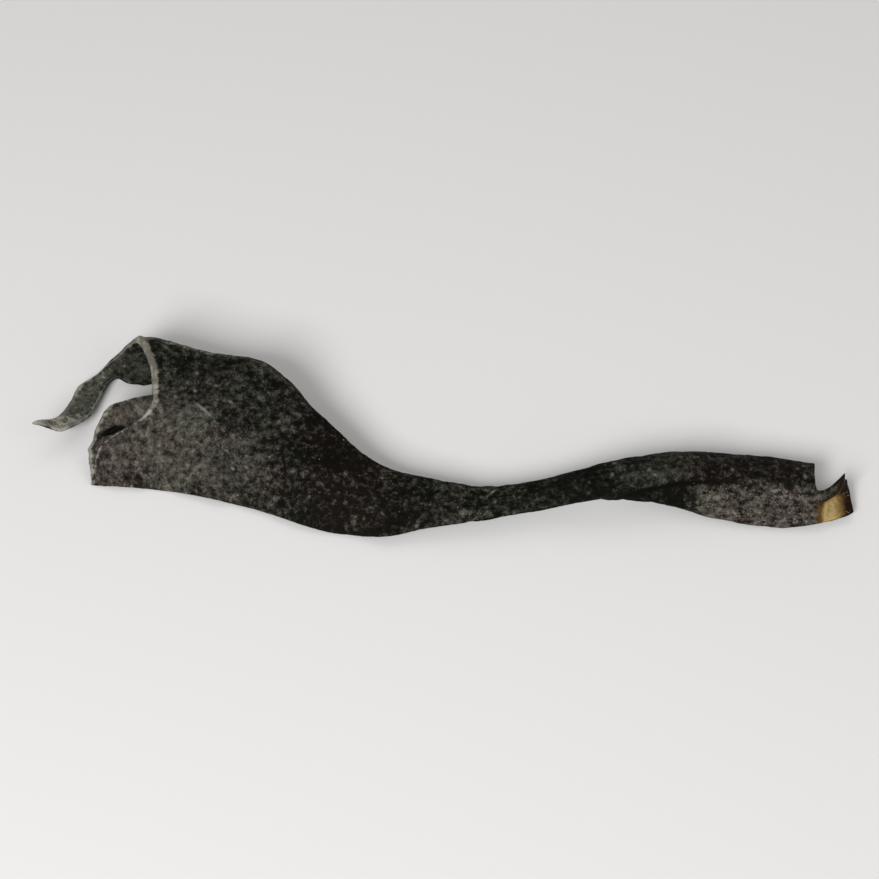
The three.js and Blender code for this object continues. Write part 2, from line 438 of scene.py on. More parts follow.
    def surface(self, x: Array, q: Array, side: Array, lift: float | Array) -> Array:
        """Points of the skin.

        Formula: the middle of the sheet, plus the buckle, the lift and half the thickness, along
        the section's normal. Half the thickness falls to nothing at the margins as one less the
        k-th power of q, to the power of one over k, where k is the squareness.

        Args:
            x: places along the stem.
            q: places across it.
            side: 1 on the outer face and -1 on the inner one.
            lift: an extra height of the whole sheet.

        Returns:
            Points with x, y and z on the last axis.
        """
        k = self.squareness(x)
        half = self.thickness(x) / 2.0 * (1.0 - np.abs(q) ** k) ** (1.0 / k)
        return self.off_sheet(x, q, self.buckle(x, q) + lift + half * side)

    def off_sheet(self, x: Array, q: Array, height: Array) -> Array:
        """Points at a height off the middle of the unbuckled sheet, along the section's normal."""
        y, z, slope = self.walk(x, self.reach(x, q))
        return spread(x, y - np.sin(slope) * height, z + np.cos(slope) * height)


@dataclass(frozen=True)
class Placement:
    """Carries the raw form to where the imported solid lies, and presses it flat on the table.

    Attributes:
        scale: the solid's length over the raw form's.
        middle: the raw form's middle in x and y, and its lowest height.
        target: where the solid has that middle, and its lowest height.
        rest_depth: how deep the lowest spots are pressed flat.
    """

    scale: float
    middle: Array
    target: Array
    rest_depth: float

    @classmethod
    def onto(cls, node: str, raw: Array, rest_depth: float) -> "Placement":
        """Fits the raw form to a node's box.

        Args:
            node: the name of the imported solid.
            raw: points of the raw form.
            rest_depth: how deep the lowest spots are pressed flat.

        Returns:
            The placement.
        """
        solid = np.array([list(corner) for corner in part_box(node)]) / METRES
        form = np.stack([raw.reshape(-1, 3).min(0), raw.reshape(-1, 3).max(0)])
        target, middle = (np.append(box.mean(0)[:2], box[0, 2]) for box in (solid, form))
        return cls(np.ptp(solid[:, 0]) / np.ptp(form[:, 0]), middle, target, rest_depth)

    def place(self, points: Array) -> Array:
        """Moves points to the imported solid's place, and holds them above the table.

        Args:
            points: points of the raw form.

        Returns:
            Points in the frame, in millimetres, none lower than the solid's base.
        """
        moved = (points - self.middle) * self.scale + self.target
        moved[..., 2] = np.maximum(moved[..., 2] - self.rest_depth, self.target[2])
        return moved


# ---------------------------------------------------------------- tones and node graphs


@dataclass(frozen=True)
class Tone:
    """A colour as a screen shows it, each part from 0 to 255."""

    red: float
    green: float
    blue: float

    @property
    def linear(self) -> tuple[float, ...]:
        """The colour in the linear light that shaders use, with full alpha."""
        parts = (self.red / 255.0, self.green / 255.0, self.blue / 255.0)
        return (*(v / 12.92 if v <= 0.04045 else ((v + 0.055) / 1.055) ** 2.4 for v in parts), 1.0)


@dataclass(frozen=True)
class Cloud:
    """A cloudy noise: its bumps to a unit, how many finer layers it has and how strong they are."""

    scale: float
    layers: float = 2.0
    rough: float = 0.5


@dataclass(frozen=True)
class Spot:
    """An oval mark on the skin: its middle in x and p, its strength, half sizes and turn."""

    x: float
    p: float
    strength: float = 0.5
    length: float = 0.6
    breadth: float = 0.5
    turn: float = 0.0


class NodeGraph:
    """Builds the nodes of one material.

    Attributes:
        material: the material.
        tree: its node tree.
        shader: its Principled BSDF node.
    """

    def __init__(self, name: str) -> None:
        """Starts a material that holds only its shader and its output.

        Args:
            name: the material's name.
        """
        self.material = bpy.data.materials.new(name)
        self.material.use_nodes = True
        self.tree = self.material.node_tree
        self.tree.nodes.clear()
        self.shader = self.node("BsdfPrincipled", {})
        self.node("OutputMaterial", {"Surface": self.shader.outputs["BSDF"]})

    def feed(self, node: bpy.types.Node, inputs: dict[str | int, object]) -> None:
        """Feeds a node's inputs.

        Args:
            node: the node.
            inputs: for each input's name or number, an output to link, a tone or a plain value.
        """
        for name, value in inputs.items():
            if isinstance(value, Socket):
                self.tree.links.new(value, node.inputs[name])
            else:
                node.inputs[name].default_value = value.linear if isinstance(value, Tone) else value

    def node(self, kind: str, inputs: dict[str | int, object], **settings: str) -> bpy.types.Node:
        """Adds a node.

        Args:
            kind: the node's type, without the words that every shader node's starts with.
            inputs: what its inputs are fed.
            **settings: its plain settings.

        Returns:
            The node.
        """
        made = self.tree.nodes.new("ShaderNode" + kind)
        for name, value in settings.items():
            setattr(made, name, value)
        self.feed(made, inputs)
        return made

    def place(self, x: float, y: float, z: float) -> Socket:
        """Object coordinates in millimetres, divided by a stretch along each axis."""
        scale, where = tuple(1.0 / METRES / s for s in (x, y, z)), self.node("TexCoord", {})
        return self.node("Mapping", {"Vector": where.outputs["Object"], "Scale": scale}).outputs[0]

    def skin_map(self) -> Socket:
        """The skin's own map."""
        return self.node("UVMap", {}, uv_map=MAP_NAME).outputs["UV"]

    def along_skin(self, x: float, p: float) -> Socket:
        """The skin's own map in millimetres, divided by a stretch along it and one across it."""
        scale = (MAP_SPAN / x, MAP_SPAN / p, 1.0)
        return self.node("Mapping", {"Vector": self.skin_map(), "Scale": scale}).outputs[0]

    def oval(self, spot: Spot) -> Socket:
        """A soft oval on the skin's map.

        Args:
            spot: the oval's place, size, turn and strength.

        Returns:
            Its strength in the middle, and 0 at its outline and beyond.
        """
        mapping = self.node("Mapping", {
            "Vector": self.skin_map(),
            "Location": (spot.x / MAP_SPAN, spot.p / MAP_SPAN, 0.0),
            "Rotation": (0.0, 0.0, math.radians(spot.turn)),
            "Scale": (spot.length / MAP_SPAN, spot.breadth / MAP_SPAN, 1.0),
        }, vector_type="TEXTURE")
        ball = self.node("TexGradient", {"Vector": mapping.outputs[0]}, gradient_type="SPHERICAL")
        return self.product(self.step(ball.outputs["Fac"], 0.0, 1.0), spot.strength)

    def attribute(self, name: str) -> Socket:
        """A number that the mesh holds at each point."""
        return self.node("Attribute", {}, attribute_name=name).outputs["Fac"]

    def noise(self, where: Socket, cloud: Cloud) -> Socket:
        """A cloud's noise, from about -0.5 to 0.5."""
        shape = {"Scale": cloud.scale, "Detail": cloud.layers, "Roughness": cloud.rough}
        return self.sum(self.node("TexNoise", {"Vector": where, **shape}).outputs["Fac"], -0.5)

    def cells(self, where: Socket, scale: float) -> bpy.types.Node:
        """Scattered cells: Distance is that from the nearest one's middle, Color is its own."""
        return self.node("TexVoronoi", {"Vector": where, "Scale": scale})

    def sum(self, *values: object) -> Socket:
        """Adds values."""
        return self.fold("ADD", values)

    def product(self, *values: object) -> Socket:
        """Multiplies values."""
        return self.fold("MULTIPLY", values)

    def fold(self, operation: str, values: tuple[object, ...]) -> Socket:
        """Joins values by one operation, from left to right.

        Args:
            operation: the operation.
            values: two or more outputs or numbers.

        Returns:
            The result.
        """
        result = values[0]
        for value in values[1:]:
            result = self.node("Math", {0: result, 1: value}, operation=operation).outputs[0]
        return result

    def step(self, value: object, low: float, high: float) -> Socket:
        """Rises smoothly from 0 at low to 1 at high, or falls where low is above high.

        Args:
            value: the number that is read.
            low: where the result is 0.
            high: where it is 1.

        Returns:
            The result.
        """
        inputs = {"Value": value, "From Min": min(low, high), "From Max": max(low, high),
                  "To Min": float(low > high), "To Max": float(low < high)}
        return self.node("MapRange", inputs, interpolation_type="SMOOTHSTEP").outputs["Result"]

    def mix(self, share: object, low: object, high: object) -> Socket:
        """Mixes two colours, each a tone or an output."""
        inputs = {"Factor": share, "A": low, "B": high}
        return self.node("Mix", inputs, data_type="RGBA").outputs["Result"]

    def bump(self, height: object, strength: float, depth_mm: float) -> Socket:
        """Turns a height from 0 to 1 into a bent normal, as if the height were depth_mm at most."""
        inputs = {"Strength": strength, "Distance": depth_mm * METRES, "Height": height}
        return self.node("Bump", inputs).outputs["Normal"]


# ---------------------------------------------------------------- meshes


def make_mesh(name: str, points: Array, faces: Array, smooth: bool = True) -> Piece:
    """Makes an object at the origin from arrays.

    Args:
        name: the object's name.
        points: corners in millimetres, with x, y and z on the last axis.
        faces: corner numbers, four to a row. A row that names one corner twice is a triangle, and
            one that names two corners twice is left out.
        smooth: whether the faces are shaded smoothly.

    Returns:
        The object.
    """
    twice = faces == np.roll(faces, -1, axis=1)
    kept = twice.sum(1) < 2
    single = ~twice[kept]
    sizes = single.sum(1)
    corners = faces[kept][single].astype(np.int32)
    points = points.reshape(-1, 3)
    mesh = bpy.data.meshes.new(name)
    mesh.vertices.add(len(points))
    mesh.vertices.foreach_set("co", (points * METRES).astype(np.float32).ravel())
    mesh.loops.add(len(corners))
    mesh.loops.foreach_set("vertex_index", corners)
    mesh.polygons.add(len(sizes))
    mesh.polygons.foreach_set("loop_start", (np.cumsum(sizes) - sizes).astype(np.int32))
    mesh.polygons.foreach_set("use_smooth", np.full(len(sizes), smooth))
    mesh.update(calc_edges=True)
    mesh.validate()
    piece = bpy.data.objects.new(name, mesh)
    bpy.context.scene.collection.objects.link(piece)
    return piece


def ring_faces(rows: int, strips: int, pinched: int) -> Array:
    """The faces of a closed sheet whose rows run over its outer face and back under its inner one.

    Formula: each cell of the grid is a face, the ring closes on itself, and in the first and the
    last row the inner face's corners are the outer face's, so that their line closes the end. The
    pinched rows at both ends share one corner at each margin.

    Args:
        rows: rows of corners in the grid.
        strips: strips across one face.
        pinched: how many rows at each end share their corner at each margin.

    Returns:
        Corner numbers, four to a row.
    """
    ring = 2 * strips
    number = np.arange(rows * ring).reshape(rows, ring)
    number[[0, -1], strips + 1:] = number[[0, -1], strips - 1:0:-1]
    for margin in (0, strips):
        number[:pinched, margin] = number[pinched, margin]
        number[rows - pinched:, margin] = number[rows - pinched - 1, margin]
    ahead = np.roll(number, -1, axis=1)
    return np.stack([number[:-1], number[1:], ahead[1:], ahead[:-1]], axis=-1).reshape(-1, 4)


def dress(
    piece: Piece, material: bpy.types.Material, zones: dict[str, float | Array], places: Array
) -> None:
    """Gives a piece of skin its material, its zones and its map, and drops its unused corners.

    Args:
        piece: the object.
        material: its material.
        zones: for a zone's name, a number for each corner. A zone that isn't named is 0.
        places: x and p for each corner.
    """
    mesh = piece.data
    mesh.materials.append(material)
    for name in ZONES:
        values = np.broadcast_to(zones.get(name, 0.0), places.shape[:-1]).astype(np.float32)
        mesh.attributes.new(name, "FLOAT", "POINT").data.foreach_set("value", values.ravel())
    corners = np.empty(len(mesh.loops), np.int32)
    mesh.loops.foreach_get("vertex_index", corners)
    flat = places.reshape(-1, 2)[corners] / MAP_SPAN
    mesh.uv_layers.new(name=MAP_NAME).data.foreach_set("uv", flat.astype(np.float32).ravel())
    loose = np.setdiff1d(np.arange(len(mesh.vertices)), corners)
    work = bmesh.new()
    work.from_mesh(mesh)
    work.verts.ensure_lookup_table()
    bmesh.ops.delete(work, geom=[work.verts[i] for i in loose.tolist()], context="VERTS")
    work.to_mesh(mesh)
    work.free()


# ---------------------------------------------------------------- the skin


@dataclass(frozen=True)
class KelpFinish:
    """Tones and textures of the dried skin, its pale cut rims and the foot's pith."""

    green_black: Tone = Tone(11, 11, 7)
    red_brown: Tone = Tone(20, 14, 10)
    # The grey bloom tones also paint the highlights along the blade's crest and the stalk, and light on
    # the shaded inner faces under the arch and on the flap.
    cool_bloom_and_painted_light: Tone = Tone(87, 90, 79)
    warm_bloom_and_painted_light: Tone = Tone(101, 91, 85)
    salt_white: Tone = Tone(142, 140, 130)
    # The pale rim tones paint the real cut rims and margins, and also a painted highlight along the
    # blade's crest.
    pale_rim_and_highlight: Tone = Tone(152, 149, 138)
    dull_rim_and_highlight: Tone = Tone(105, 102, 93)
    pith_gold: Tone = Tone(172, 150, 98)
    pith_tan: Tone = Tone(126, 97, 56)
    pith_brown: Tone = Tone(33, 22, 14)
    gloss: float = 0.035
    bump_depth: float = 0.34
    cloud: Cloud = Cloud(0.19)
    tint: Cloud = Cloud(1.0)
    tint_stretch: tuple[float, float, float] = (7.0, 5.0, 5.0)
    mottle: Cloud = Cloud(0.85, 4.0, 0.63)
    dust: Cloud = Cloud(3.1, 2.0, 0.6)
    streak: Cloud = Cloud(1.0, 3.0, 0.6)
    streak_stretch: Span = (2.2, 0.8)
    pit_scale: float = 0.95
    fleck_scale: float = 0.5
    fleck_share: float = 0.3
    bloom_range: Span = (-0.17, 1.2)
    marks: tuple[Spot, ...] = (
        Spot(25.4, 0.5, 0.62, 2.7, 0.5, -26.5), Spot(23.7, 3.8), Spot(30.6, 3.8, 0.45, 0.8, 0.6),
        Spot(31.1, -8.4, 0.6), Spot(27.7, 6.4, 0.4, 0.8, 0.5, 20.0), Spot(20.0, 1.8, 0.35),
        Spot(17.1, -8.0), Spot(33.7, -7.1, 0.4, 0.7), Spot(79.7, 0.6, 0.6, 1.1, 0.35, 30.0),
        Spot(102.3, 2.5, 0.45), Spot(101.8, 0.5, 0.35), Spot(108.7, 0.8, 0.4, 0.7, 0.4, 20.0),
        Spot(121.4, -3.4, 0.5, 1.0, 0.8), Spot(124.3, 1.0, 0.4),
        Spot(132.2, -1.4, 0.45, 1.4, 0.35, 10.0), Spot(136.6, 2.3, 0.35), Spot(137.7, 0.6, 0.3),
        Spot(139.5, -5.6, 0.4, 1.3, 0.6))

    def make(self) -> bpy.types.Material:
        """Builds the material.

        Formula: dark skin shows through a grey bloom where the bloom's share and a grain of mottle,
        dust and streaks add up to little. The bloom's share also holds painted highlights, painted
        shade and painted light on shaded inner faces. Flecks, marks, pale rims with a painted crest
        highlight, and bare pith lie over both.

        Returns:
            A material that reads the skin's zones from its attributes.
        """
        g = NodeGraph("kelp_skin")
        fine = g.place(1.0, 1.0, 1.0)
        stalk, foot, speckle = g.attribute("stalk"), g.attribute("foot"), g.attribute("speckle")
        cloud, mottle, dust = (g.noise(fine, kind) for kind in (self.cloud, self.mottle, self.dust))
        tint = g.noise(g.place(*self.tint_stretch), self.tint)
        streak = g.noise(g.along_skin(*self.streak_stretch), self.streak)
        pit = g.step(g.cells(fine, self.pit_scale).outputs["Distance"], 0.55, 0.10)

        warmth = g.sum(g.attribute("warmth"), g.product(tint, 1.9), g.product(mottle, 0.4))
        skin = g.mix(warmth, self.green_black, self.red_brown)
        bloom_and_painted_light = g.mix(warmth, self.cool_bloom_and_painted_light, self.warm_bloom_and_painted_light)
        grain = g.sum(g.product(mottle, g.sum(2.4, g.product(foot, -0.7))),
                      g.product(dust, g.sum(1.0, g.product(foot, 0.4))),
                      g.product(streak, g.sum(g.product(stalk, 0.5), g.product(foot, 1.1))),
                      g.product(pit, -0.12), 0.04)
        grain = g.product(grain, speckle)
        # The bloom zone holds the real salt bloom and also painted highlights, painted shade and
        # painted light.
        cover = g.sum(grain, g.attribute("bloom_and_painted_light"), g.product(cloud, 0.75))
        cover = g.step(cover, *self.bloom_range)
        skin = g.mix(cover, skin, bloom_and_painted_light)

        flecks = g.cells(fine, self.fleck_scale)
        near_fleck = g.step(flecks.outputs["Distance"], 0.26, 0.02)
        own = g.node("SeparateColor", {"Color": flecks.outputs["Color"]}).outputs["Red"]
        fleck = g.product(near_fleck, g.step(own, 0.70, 0.92), self.fleck_share)
        marks = g.product(g.sum(*(g.oval(mark) for mark in self.marks)), g.attribute("outside"))
        powder = g.step(g.sum(g.product(dust, 0.8), g.product(mottle, 0.8)), 0.04, 0.30)
        powder = g.product(powder, cover, g.sum(-0.65, speckle))
        skin = g.mix(g.sum(fleck, powder, marks), skin, self.salt_white)

        # The rim zone holds the pale cut rims and margins and a painted highlight along the blade's
        # crest.
        rim_and_highlight = g.sum(g.attribute("rim_and_highlight"), g.product(mottle, 1.2), g.product(dust, 0.5))
        rim_and_highlight = g.product(g.step(rim_and_highlight, 0.25, 0.8), g.step(g.attribute("rim_and_highlight"), 0.02, 0.3))
        pale = g.step(g.sum(mottle, g.product(cloud, 0.8)), -0.16, 0.14)
        skin = g.mix(rim_and_highlight, skin, g.mix(pale, self.dull_rim_and_highlight, self.pale_rim_and_highlight))

        scorch = g.sum(g.attribute("scorch"), g.product(mottle, 0.6))
        pith = g.mix(g.step(scorch, 0.05, 0.55), self.pith_gold, self.pith_tan)
        pith = g.mix(g.step(scorch, 0.4, 1.0), pith, self.pith_brown)
        bare = g.step(g.sum(g.attribute("pith"), g.product(mottle, 1.6)), 0.25, 0.75)
        bare = g.product(bare, g.step(g.attribute("pith"), 0.0, 0.25))

        rough = g.sum(0.55, g.product(cover, 0.32), g.product(streak, 0.2), g.product(rim_and_highlight, 0.2))
        height = g.sum(g.product(mottle, 1.4), g.product(dust, 0.25), g.product(pit, -0.15),
                       g.product(streak, stalk, 0.8), g.product(marks, 0.2))
        g.feed(g.shader, {
            "Base Color": g.mix(bare, skin, pith),
            "Roughness": rough,
            "Specular IOR Level": self.gloss,
            "Normal": g.bump(height, 0.8, self.bump_depth),
        })
        return g.material


@dataclass(frozen=True)
class SkinPlaces:
    """Where the looks of the skin come and go, in millimetres along the stem unless said otherwise.

    A name in _in or _out is the span over which a look comes in or goes out. The other pairs are a
    look's middle and breadth, and those in _q and _p run across the stem.
    """

    blade_out: Span = (34.0, 56.0)
    bloom_out: Span = (18.0, 50.0)
    near_edge_p: Span = (-3.0, 3.0)
    near_edge_start: float = 20.0
    near_edge_slant: float = 0.12
    patch_xp: Span = (19.0, -3.5)
    patch_size: Span = (5.0, 4.0)
    tip_xq: Span = (5.0, -0.85)
    tip_size: Span = (7.0, 0.35)
    # Painted highlight: a band of bloom along the blade's crest, and a pale line where its fold turns
    # away.
    crest_highlight_p: Span = (-0.1, 0.5)
    crest_highlight_in: Span = (12.0, 16.0)
    crest_highlight_out: Span = (24.0, 44.0)
    crest_highlight_slope: Span = (-30.0, 13.0)
    hem_in: Span = (9.0, 16.0)
    hem_q: Span = (0.76, 0.9)
    margin_q: Span = (0.95, 0.99)
    near_margin_out: Span = (10.0, 40.0)
    far_margin_out: Span = (3.0, 7.0)
    hook_out: Span = (-5.0, -1.5)
    flap_out: Span = (-2.0, 6.0)
    flap_q: Span = (0.5, 0.64)
    flap_rim_q: Span = (0.84, 0.96)
    knot: Span = (4.2, 0.6)
    knot_q: Span = (0.56, 0.64)
    # The arch's span, where painted light lightens the shaded inner face.
    arch_out: Span = (9.0, 20.0)
    arch_q: Span = (0.3, 0.42)
    shoulder: Span = (54.0, 13.0)
    stalk_in: Span = (58.0, 80.0)
    waist: Span = (78.0, 7.0)
    # Painted highlight: a lighter band along the top of the stalk.
    highlight_band_q: Span = (0.35, 0.2)
    highlight_band_in: Span = (58.0, 72.0)
    highlight_band_out: Span = (82.0, 96.0)
    dusk: Span = (97.0, 8.0)
    quiet: Span = (98.0, 9.0)
    # Painted shadow: where the foot's lower facet lies dark under its upper one.
    tuck_shadow_in: Span = (101.0, 105.0)
    tuck_shadow_out: Span = (113.5, 119.0)
    # Painted shadow: a dark line under the foot's crease.
    crease_shadow_p: Span = (-0.35, 0.45)
    crease_shadow_in: Span = (102.0, 106.0)
    crease_shadow_out: Span = (119.0, 129.0)
    upper_in: Span = (104.0, 112.0)
    upper_p: Span = (-0.1, 0.6)
    warm_in: Span = (113.0, 124.0)
    foot_in: Span = (115.0, 121.0)
    soft_in: Span = (115.0, 125.0)
    tongue: Span = (2.6, 0.2)
    split_q: Span = (-0.5, -0.3)


@dataclass
class KelpSkin:
    """The stem's closed skin, from the blade's cut to the foot's.

    Attributes:
        form: the folded shape.
        finish: its tones and textures.
        at: where its looks come and go.
        rows: rows along the stem.
        strips: strips across one face.
        cut_rows: rows across each half of a cut face.
        crowding: the share of the strips' spacing that crowds towards the margins.
    """

    form: StemForm = StemForm()
    finish: KelpFinish = KelpFinish()
    at: SkinPlaces = SkinPlaces()
    rows: int = 424
    strips: int = 108
    cut_rows: int = 12
    crowding: float = 0.7

    pucker_height: float = 0.34
    pucker_size: float = 8.5
    ruffle_height: float = 0.55
    ruffle_size: float = 4.2
    furrow_depth: float = 0.3
    furrow_size: Span = (9.0, 1.5)
    furrow_start: Span = (54.0, 82.0)
    foot_calm: Span = (0.5, 12.0)
    calm_in: Span = (104.0, 118.0)
    wrinkle_depth: float = 0.16
    wrinkle_size: Span = (3.4, 1.5)
    grain_height: float = 0.05
    grain_size: float = 1.0
    crease_depth: float = 0.8
    crease_in: Span = (100.0, 106.0)
    crease_out: Span = (118.0, 129.0)
    crease_sides: tuple[Span, Span] = ((-4.5, -0.3), (-0.5, 0.1))
    crease_line: Profile = Profile((
        (100, -4), (104, -2.6), (108, -1.6), (113, -0.8), (121, -0.3), (131, -0.8), (141, -1.3)))
    far_thinning: float = 0.4
    thin_q: Span = (0.15, 0.5)
    thin_out: Span = (12.0, 28.0)
    bead_height: float = 0.16
    bead_breadth: float = 0.75
    cut_swell: float = 0.14
    cut_roughness: float = 0.12
    blade_sink: float = 0.1
    pith_sink: float = 0.45

    def __post_init__(self) -> None:
        """Works out the grid's places and points, and makes the material."""
        form = self.form
        self.material = self.finish.make()
        self.q = self.across()
        self.side = ring_sides(self.strips)
        self.x = form.row_at(np.linspace(0.0, 1.0, self.rows + 1)[:, None], self.q, self.side)
        self.p = form.reach(self.x, self.q)
        plain = form.surface(self.x, self.q, self.side, 0.0)
        self.placement = Placement.onto("kelp_stem", plain, form.rest_depth)
        thinner = smooth_step(self.q, *self.thin_q) * smooth_fall(self.x, *self.thin_out)
        half = form.thickness(self.x) / 2.0
        thinner = self.far_thinning * half * thinner * self.side * (1.0 - self.q**8)
        lifted = form.surface(self.x, self.q, self.side, self.sheet_lift() - thinner)
        self.normal = self.outward(lifted)
        self.points = lifted + self.normal * self.skin_relief(lifted)[..., None]

    def across(self) -> Array:
        """Each corner's q: even spacing, blended with a cosine's that crowds to the margins."""
        share = ring_shares(self.strips)
        return blend(2.0 * share - 1.0, -np.cos(math.pi * share), self.crowding)

    def sheet_lift(self) -> Array:
        """How far the sheet puckers and its margins ruffle, both faces together.

        Formula: layered noise over x and p on the blade, and on its margins finer noise that grows
        with the eighth power of q.

        Returns:
            Heights along the section's normal.
        """
        flat = spread(self.x, self.p, 0.0)
        pucker = self.pucker_height * Relief.PUCKER.noise(flat / self.pucker_size, 2)
        ruffle = self.ruffle_height * Relief.RUFFLE.noise(flat / self.ruffle_size) * self.q**8
        return smooth_fall(self.x, *self.form.blade_end) * (pucker + ruffle)

    def skin_relief(self, points: Array) -> Array:
        """The skin's own relief, each face for itself.

        Formula: furrows along the stalk are a folded-over noise that is stretched along it, and the
        blade's wrinkles are a finer one. Both lie on a low grain, less the foot's crease, plus the
        bead along each cut.

        Args:
            points: the smooth skin.

        Returns:
            Heights along the skin's normal.
        """
        x, form = self.x, self.form
        along, round_ = self.furrow_size
        y, z = points[..., 1] - form.ridge_y(x), points[..., 2] - form.ridge_z(x)
        furrow = Relief.FURROW.valleys(spread(x / along, y / round_, z / round_), 2.2)
        along, wide = self.wrinkle_size
        flat = spread(x / along, self.p / wide, 9.0 * self.side)
        wrinkle = Relief.WRINKLE.valleys(flat, 2.6) - 0.7
        wrinkle = wrinkle * np.clip(1.0 - np.abs(self.q) ** 8, 0.0, 1.0)
        calm = smooth_step(self.from_cuts()[1], *self.foot_calm)
        calm = calm * blend(1.0, 0.6, smooth_step(x, *self.calm_in))
        stalk = smooth_step(x, *self.furrow_start)
        relief = stalk * calm * self.furrow_depth * (furrow - 0.6)
        relief = relief + (1.0 - stalk) * self.wrinkle_depth * wrinkle
        relief = relief + self.grain_height * Relief.GRAIN.noise(points / self.grain_size, 2)
        return relief - self.crease() + self.bead()

    def crease(self) -> Array:
        """The foot's lower facet tucks in under its upper one.

        Formula: a step at the crease's line on the outer face, deepest beside the step and fading
        out towards the near margin, between the crease's two ends.

        Returns:
            Depths along the skin's normal.
        """
        past = self.p - self.crease_line(self.x)
        along = plateau(self.x, self.crease_in, self.crease_out)
        return self.crease_depth * along * plateau(past, *self.crease_sides) * (self.side > 0)

    def from_cuts(self) -> tuple[Array, Array]:
        """Distances along the skin from the blade's cut and from the foot's."""
        blade = self.x - self.form.edge_at_cut(self.q, self.side)
        return blade, self.form.edge_at_foot(self.q, self.side) - self.x

    def bead(self) -> Array:
        """The swollen rim along each cut: a bell over the distance from it."""
        heights = sum(hump(distance, self.bead_breadth) for distance in self.from_cuts())
        return self.bead_height * heights * (1.0 - self.q**8)

    def outward(self, points: Array) -> Array:
        """The skin's outward normals: the cross product of its two ways, round and along."""
        round_ = np.roll(points, -1, axis=1) - np.roll(points, 1, axis=1)
        return unit(np.cross(np.gradient(points, axis=0), round_))

    def cut_face(self, end: int, sink: float) -> tuple[Array, Array]:
        """The rows of one cut face, from the skin's edge to the middle line.

        Formula: each corner moves evenly towards the middle between the two faces. It stands out
        along the stem by a swelling near the edge, less a hollow in the middle and a rough grain.

        Args:
            end: the skin's row at the cut, 0 or -1.
            sink: how deep the middle of the face has shrunk.

        Returns:
            The rows' points, and each row's share of the way to the middle.
        """
        mirror = -np.arange(2 * self.strips) % (2 * self.strips)
        edge, inner = self.points[end], self.points[4 if end == 0 else -5]
        middle = (edge + edge[mirror]) / 2.0
        ahead = unit(middle - (inner + inner[mirror]) / 2.0)
        share = (np.arange(1, self.cut_rows + 1) / self.cut_rows)[:, None]
        rows = blend(edge, middle, share[..., None])
        rough = self.cut_roughness * Relief.CUT.noise(rows / np.array([0.9, 0.9, 0.5]), 3)
        stand = self.cut_swell * smooth_step(share, 0.0, 0.35) - sink * smooth_step(share, 0.2, 0.9)
        stand = (stand + rough * smooth_step(share, 0.0, 0.3)) * (1.0 - self.q**6)
        return rows + ahead * stand[..., None], share

    @cached_property
    def zones(self) -> dict[str, Array]:
        """The numbers that tell the finish where it is on the skin.

        Formula: each patch, line or stretch of the skin is a product of smooth steps and bells over
        x, p, q and the distances from the cuts, and each zone is a weighted sum of them.

        Returns:
            For each zone's name, a number for each corner of the skin's rows.
        """
        x, p, q, form, at = self.x, self.p, self.q, self.form, self.at
        blade, foot = self.from_cuts()
        outer, far, past = self.side > 0, q > 0.0, p - self.crease_line(x)
        inner = 1.0 - outer

        near = smooth_fall(p + at.near_edge_slant * (x - at.near_edge_start), *at.near_edge_p)
        near_bloom = near * smooth_fall(x, *at.bloom_out)
        on_blade, stalk = smooth_fall(x, *at.blade_out), smooth_step(x, *at.stalk_in)
        shoulder, waist = hill(x, at.shoulder), hill(x, at.waist)
        patch, tip = bell(x, p, at.patch_xp, at.patch_size), bell(x, q, at.tip_xq, at.tip_size)
        # Painted highlight: a pale band of bloom along the blade's crest.
        crest = hill(p - form.top_width(x), at.crest_highlight_p) * on_blade
        hem = smooth_step(-q, *at.hem_q) * smooth_step(x, *at.hem_in) * on_blade
        # Painted highlight: more bloom in a band along the top of the stalk, where light falls on its
        # round back.
        highlight_band = hill(q, at.highlight_band_q) * plateau(x, at.highlight_band_in, at.highlight_band_out)

        on_foot = smooth_step(x, *at.foot_in)
        upper = smooth_step(x, *at.upper_in) * smooth_step(past, *at.upper_p)
        soft = smooth_step(x, *at.soft_in)
        lower = smooth_fall(past, -1.0 - 0.4 * soft, 0.3 + 0.9 * soft)
        # Painted shadow: less bloom on the foot's lower facet where the upper facet shades it.
        tuck_shadow = plateau(x, at.tuck_shadow_in, at.tuck_shadow_out) * lower
        # Painted shadow: a dark line of less bloom just under the foot's crease.
        line = hill(past, at.crease_shadow_p) * plateau(x, at.crease_shadow_in, at.crease_shadow_out)
        tongue = smooth_step(foot, *at.tongue) * (q < form.notch_side)

        hook = smooth_fall(x, *at.hook_out)
        flap = (smooth_fall(x, *at.flap_out) - 0.35 * hook) * smooth_step(q, *at.flap_q)
        knot = hill(x, at.knot) * smooth_step(q, *at.knot_q)
        # The inner face under the arch lies in shade; its bloom is painted light.
        arch = smooth_fall(x, *at.arch_out) * smooth_step(q, *at.arch_q) * (1.0 - flap)
        margin = blend(
            0.35 * smooth_fall(x, *at.near_margin_out), 0.7 * smooth_fall(x, *at.far_margin_out), far)
        margin = margin * smooth_step(np.abs(q), *at.margin_q)
        # Painted highlight: a pale line where the blade's fold slopes away, put into the rim zone.
        crest_highlight = hill(np.degrees(form.slope(x, p)), at.crest_highlight_slope)
        crest_highlight = 0.65 * crest_highlight * plateau(x, at.crest_highlight_in, at.crest_highlight_out) * outer

